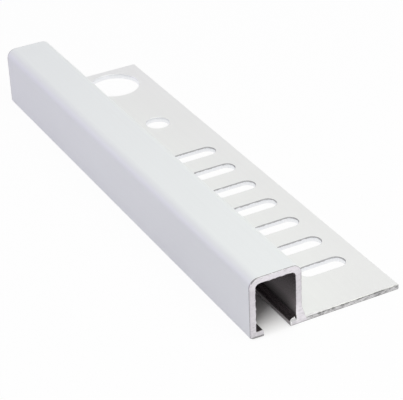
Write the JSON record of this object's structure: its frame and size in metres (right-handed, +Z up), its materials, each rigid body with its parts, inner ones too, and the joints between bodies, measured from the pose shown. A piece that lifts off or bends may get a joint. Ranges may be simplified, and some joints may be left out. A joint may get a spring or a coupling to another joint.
{
  "type": "tile edge trim",
  "caption": "Box-section tile edge trim: a hollow, round-cornered edge profile, open underneath, with a flat slotted leg that is bedded under the tile.",
  "frame": {"origin": "under the middle of the piece, on the plane that it rests on", "axes": "+X across the bar from the box edge to the leg's free edge, +Y along the bar to the end with the round holes, +Z up"},
  "size_m": [0.0306, 0.1076, 0.0125],
  "materials": {
    "trim": "pale satin coat outside, bare metal on the cut ends and in the box"
  },
  "bodies": {
    "root": {"tile_trim": "trim"}
  },
  "joints": []
}
